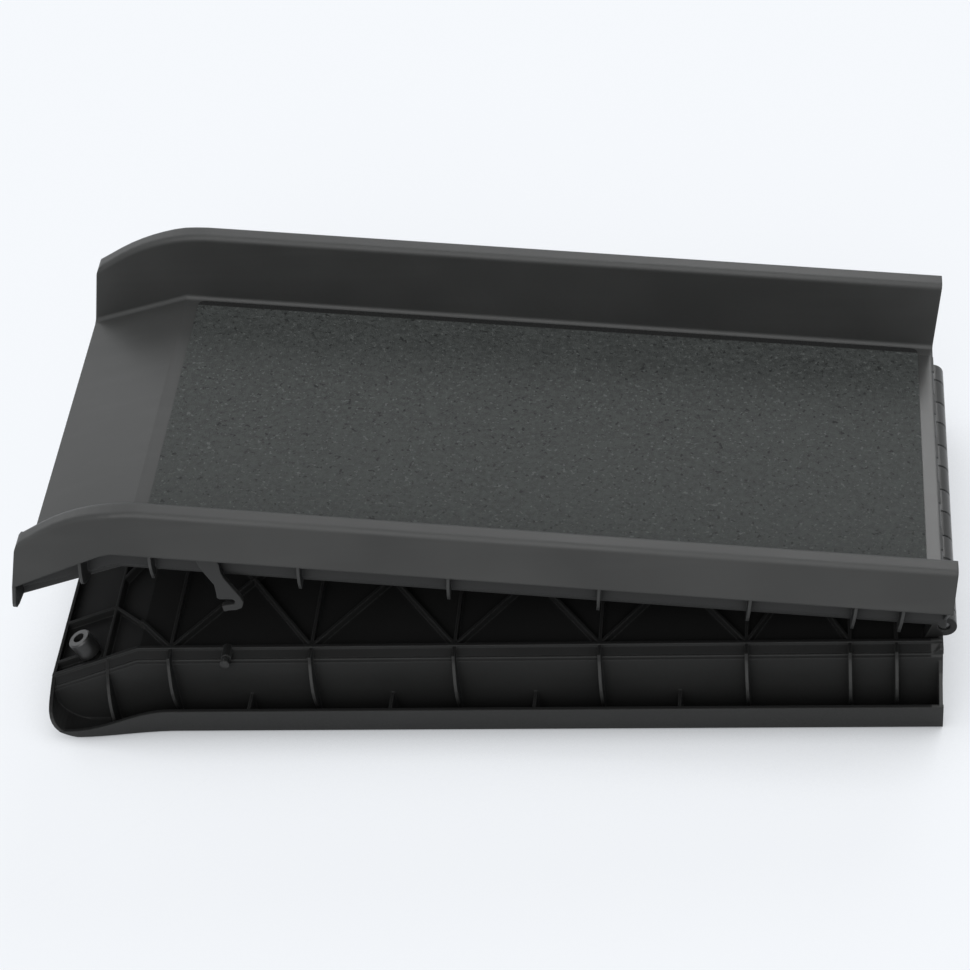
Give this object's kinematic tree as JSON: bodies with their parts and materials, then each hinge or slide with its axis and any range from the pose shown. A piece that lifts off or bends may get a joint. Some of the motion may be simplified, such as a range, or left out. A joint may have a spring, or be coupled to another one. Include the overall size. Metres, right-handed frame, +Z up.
{
  "type": "folding dog ramp",
  "caption": "Bi-fold dog ramp: two ribbed plastic halves with side rails and gritty treads, joined by a long knuckled hinge and folded with side hooks.",
  "frame": {"origin": "on the floor, below the middle of the nearly folded ramp's outline", "axes": "+X along the ramp towards the hinge, +Y across the ramp away from the near side, +Z up"},
  "size_m": [0.7776, 0.399, 0.2599],
  "materials": {
    "black_plastic": "satin moulded plastic",
    "latch_plastic": "satin moulded plastic",
    "grit_mat": "rough gritty sheet",
    "foot_rubber": "smooth rubber",
    "steel": "plain zinc-plated steel"
  },
  "bodies": {
    "ground_end": {"ground_end_ramp": "black_plastic", "ground_end_mat": "grit_mat", "hinge_rod": "steel", "near_rod_cap": "steel", "far_rod_cap": "steel", "near_catch_stud": "latch_plastic", "far_catch_stud": "latch_plastic", "near_rubber_foot": "foot_rubber", "far_rubber_foot": "foot_rubber", "near_foot_screw": "steel", "far_foot_screw": "steel"},
    "car_end": {"car_end_ramp": "black_plastic", "car_end_mat": "grit_mat", "near_latch_screw": "steel", "far_latch_screw": "steel", "near_latch_washer": "steel", "far_latch_washer": "steel"},
    "near_latch": {"near_latch_hook": "latch_plastic"},
    "far_latch": {"far_latch_hook": "latch_plastic"}
  },
  "joints": [
    {"name": "fold_hinge", "type": "hinge", "parent": "ground_end", "child": "car_end", "pos_m": [0.3784, 0, 0.091], "axis": [0, 1, 0], "range_deg": [-6.8, 173.2]},
    {"name": "near_latch_swing", "type": "hinge", "parent": "car_end", "child": "near_latch", "pos_m": [-0.22219, -0.1807, 0.22304], "axis": [0, -1, 0], "range_deg": [-12, 25]},
    {"name": "far_latch_swing", "type": "hinge", "parent": "car_end", "child": "far_latch", "pos_m": [-0.22219, 0.1807, 0.22304], "axis": [0, -1, 0], "range_deg": [-12, 25]}
  ]
}
